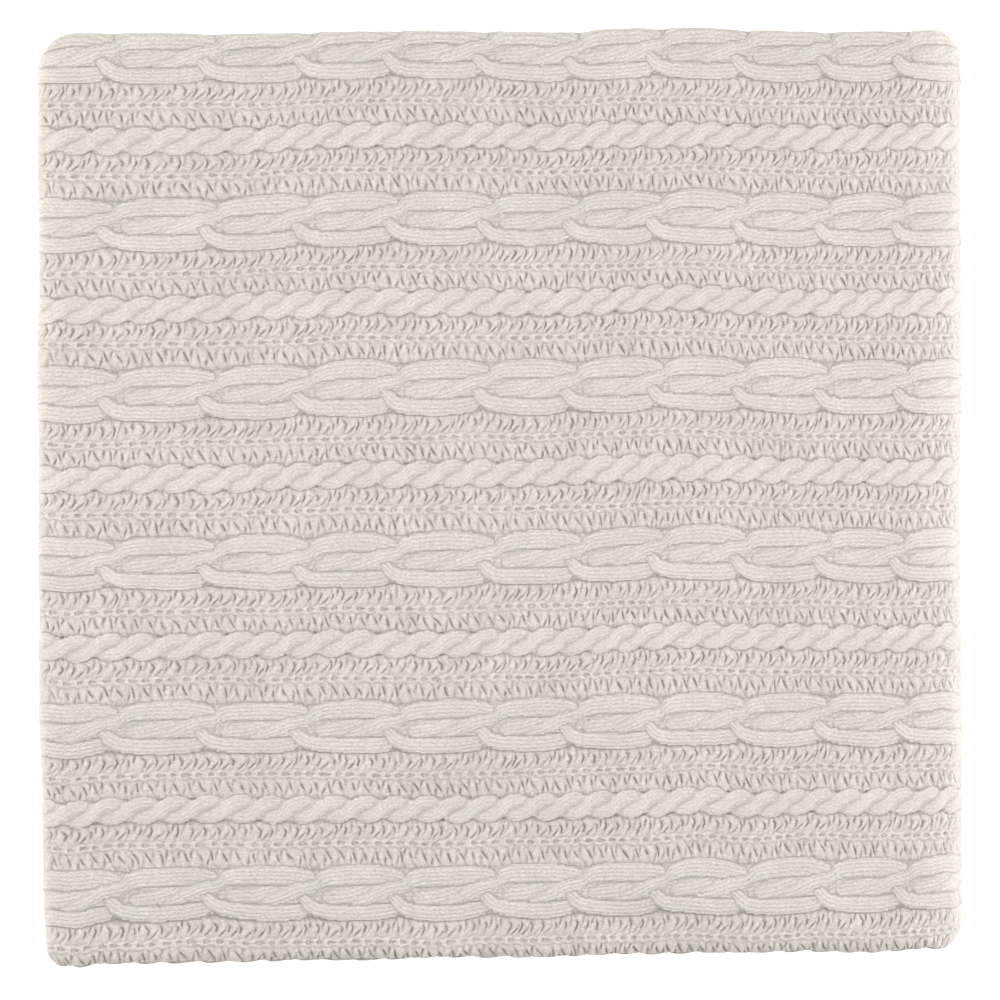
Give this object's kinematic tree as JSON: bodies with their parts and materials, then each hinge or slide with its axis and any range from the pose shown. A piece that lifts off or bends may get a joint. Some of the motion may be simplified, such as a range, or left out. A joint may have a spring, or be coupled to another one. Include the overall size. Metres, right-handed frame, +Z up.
{
  "type": "folded throw blanket",
  "caption": "Cable-knit throw blanket folded into a thick square stack, with rib hems and a care label; the stack opens like a book along its end fold.",
  "frame": {"origin": "on the surface that the throw rests on, under the middle of the folded stack", "axes": "+X along the cloth's length, towards the end where the stack opens like a book; +Y across the cloth's width; +Z up through the stack"},
  "size_m": [0.433, 0.433, 0.0537],
  "materials": {
    "knit": "matte cable-knit yarn, heathered oatmeal",
    "hem_rib": "matte ribbed knit, heathered oatmeal",
    "label": "blank woven satin tape"
  },
  "bodies": {
    "lower_half": {"bottom_quarter_centre_panel": "knit", "bottom_quarter_inner_flap": "knit", "bottom_quarter_inner_side_fold": "knit", "bottom_quarter_outer_flap": "knit", "bottom_quarter_outer_side_fold": "knit", "care_label": "label", "finish_hem": "hem_rib", "inner_end_turn_centre_panel": "knit", "inner_end_turn_inner_flap": "knit", "inner_end_turn_inner_side_fold": "knit", "inner_end_turn_outer_flap": "knit", "inner_end_turn_outer_side_fold": "knit", "outer_end_turn_centre_panel": "knit", "outer_end_turn_inner_flap": "knit", "outer_end_turn_inner_side_fold": "knit", "outer_end_turn_outer_flap": "knit", "outer_end_turn_outer_side_fold": "knit", "second_quarter_centre_panel": "knit", "second_quarter_inner_flap": "knit", "second_quarter_inner_side_fold": "knit", "second_quarter_outer_flap": "knit", "second_quarter_outer_side_fold": "knit", "start_hem": "hem_rib"},
    "upper_half": {"third_quarter_centre_panel": "knit", "third_quarter_inner_flap": "knit", "third_quarter_inner_side_fold": "knit", "third_quarter_outer_flap": "knit", "third_quarter_outer_side_fold": "knit", "top_quarter_centre_panel": "knit", "top_quarter_inner_flap": "knit", "top_quarter_inner_side_fold": "knit", "top_quarter_outer_flap": "knit", "top_quarter_outer_side_fold": "knit", "upper_end_turn_centre_panel": "knit", "upper_end_turn_inner_flap": "knit", "upper_end_turn_inner_side_fold": "knit", "upper_end_turn_outer_flap": "knit", "upper_end_turn_outer_side_fold": "knit"}
  },
  "joints": [
    {"name": "book_fold", "type": "hinge", "parent": "lower_half", "child": "upper_half", "pos_m": [0.18965, 0, 0.02685], "axis": [0, 1, 0], "range_deg": [0, 180], "deforming": ["inner_end_turn_centre_panel", "inner_end_turn_inner_flap", "inner_end_turn_inner_side_fold", "inner_end_turn_outer_flap", "inner_end_turn_outer_side_fold", "outer_end_turn_centre_panel", "outer_end_turn_inner_flap", "outer_end_turn_inner_side_fold", "outer_end_turn_outer_flap", "outer_end_turn_outer_side_fold"]}
  ]
}
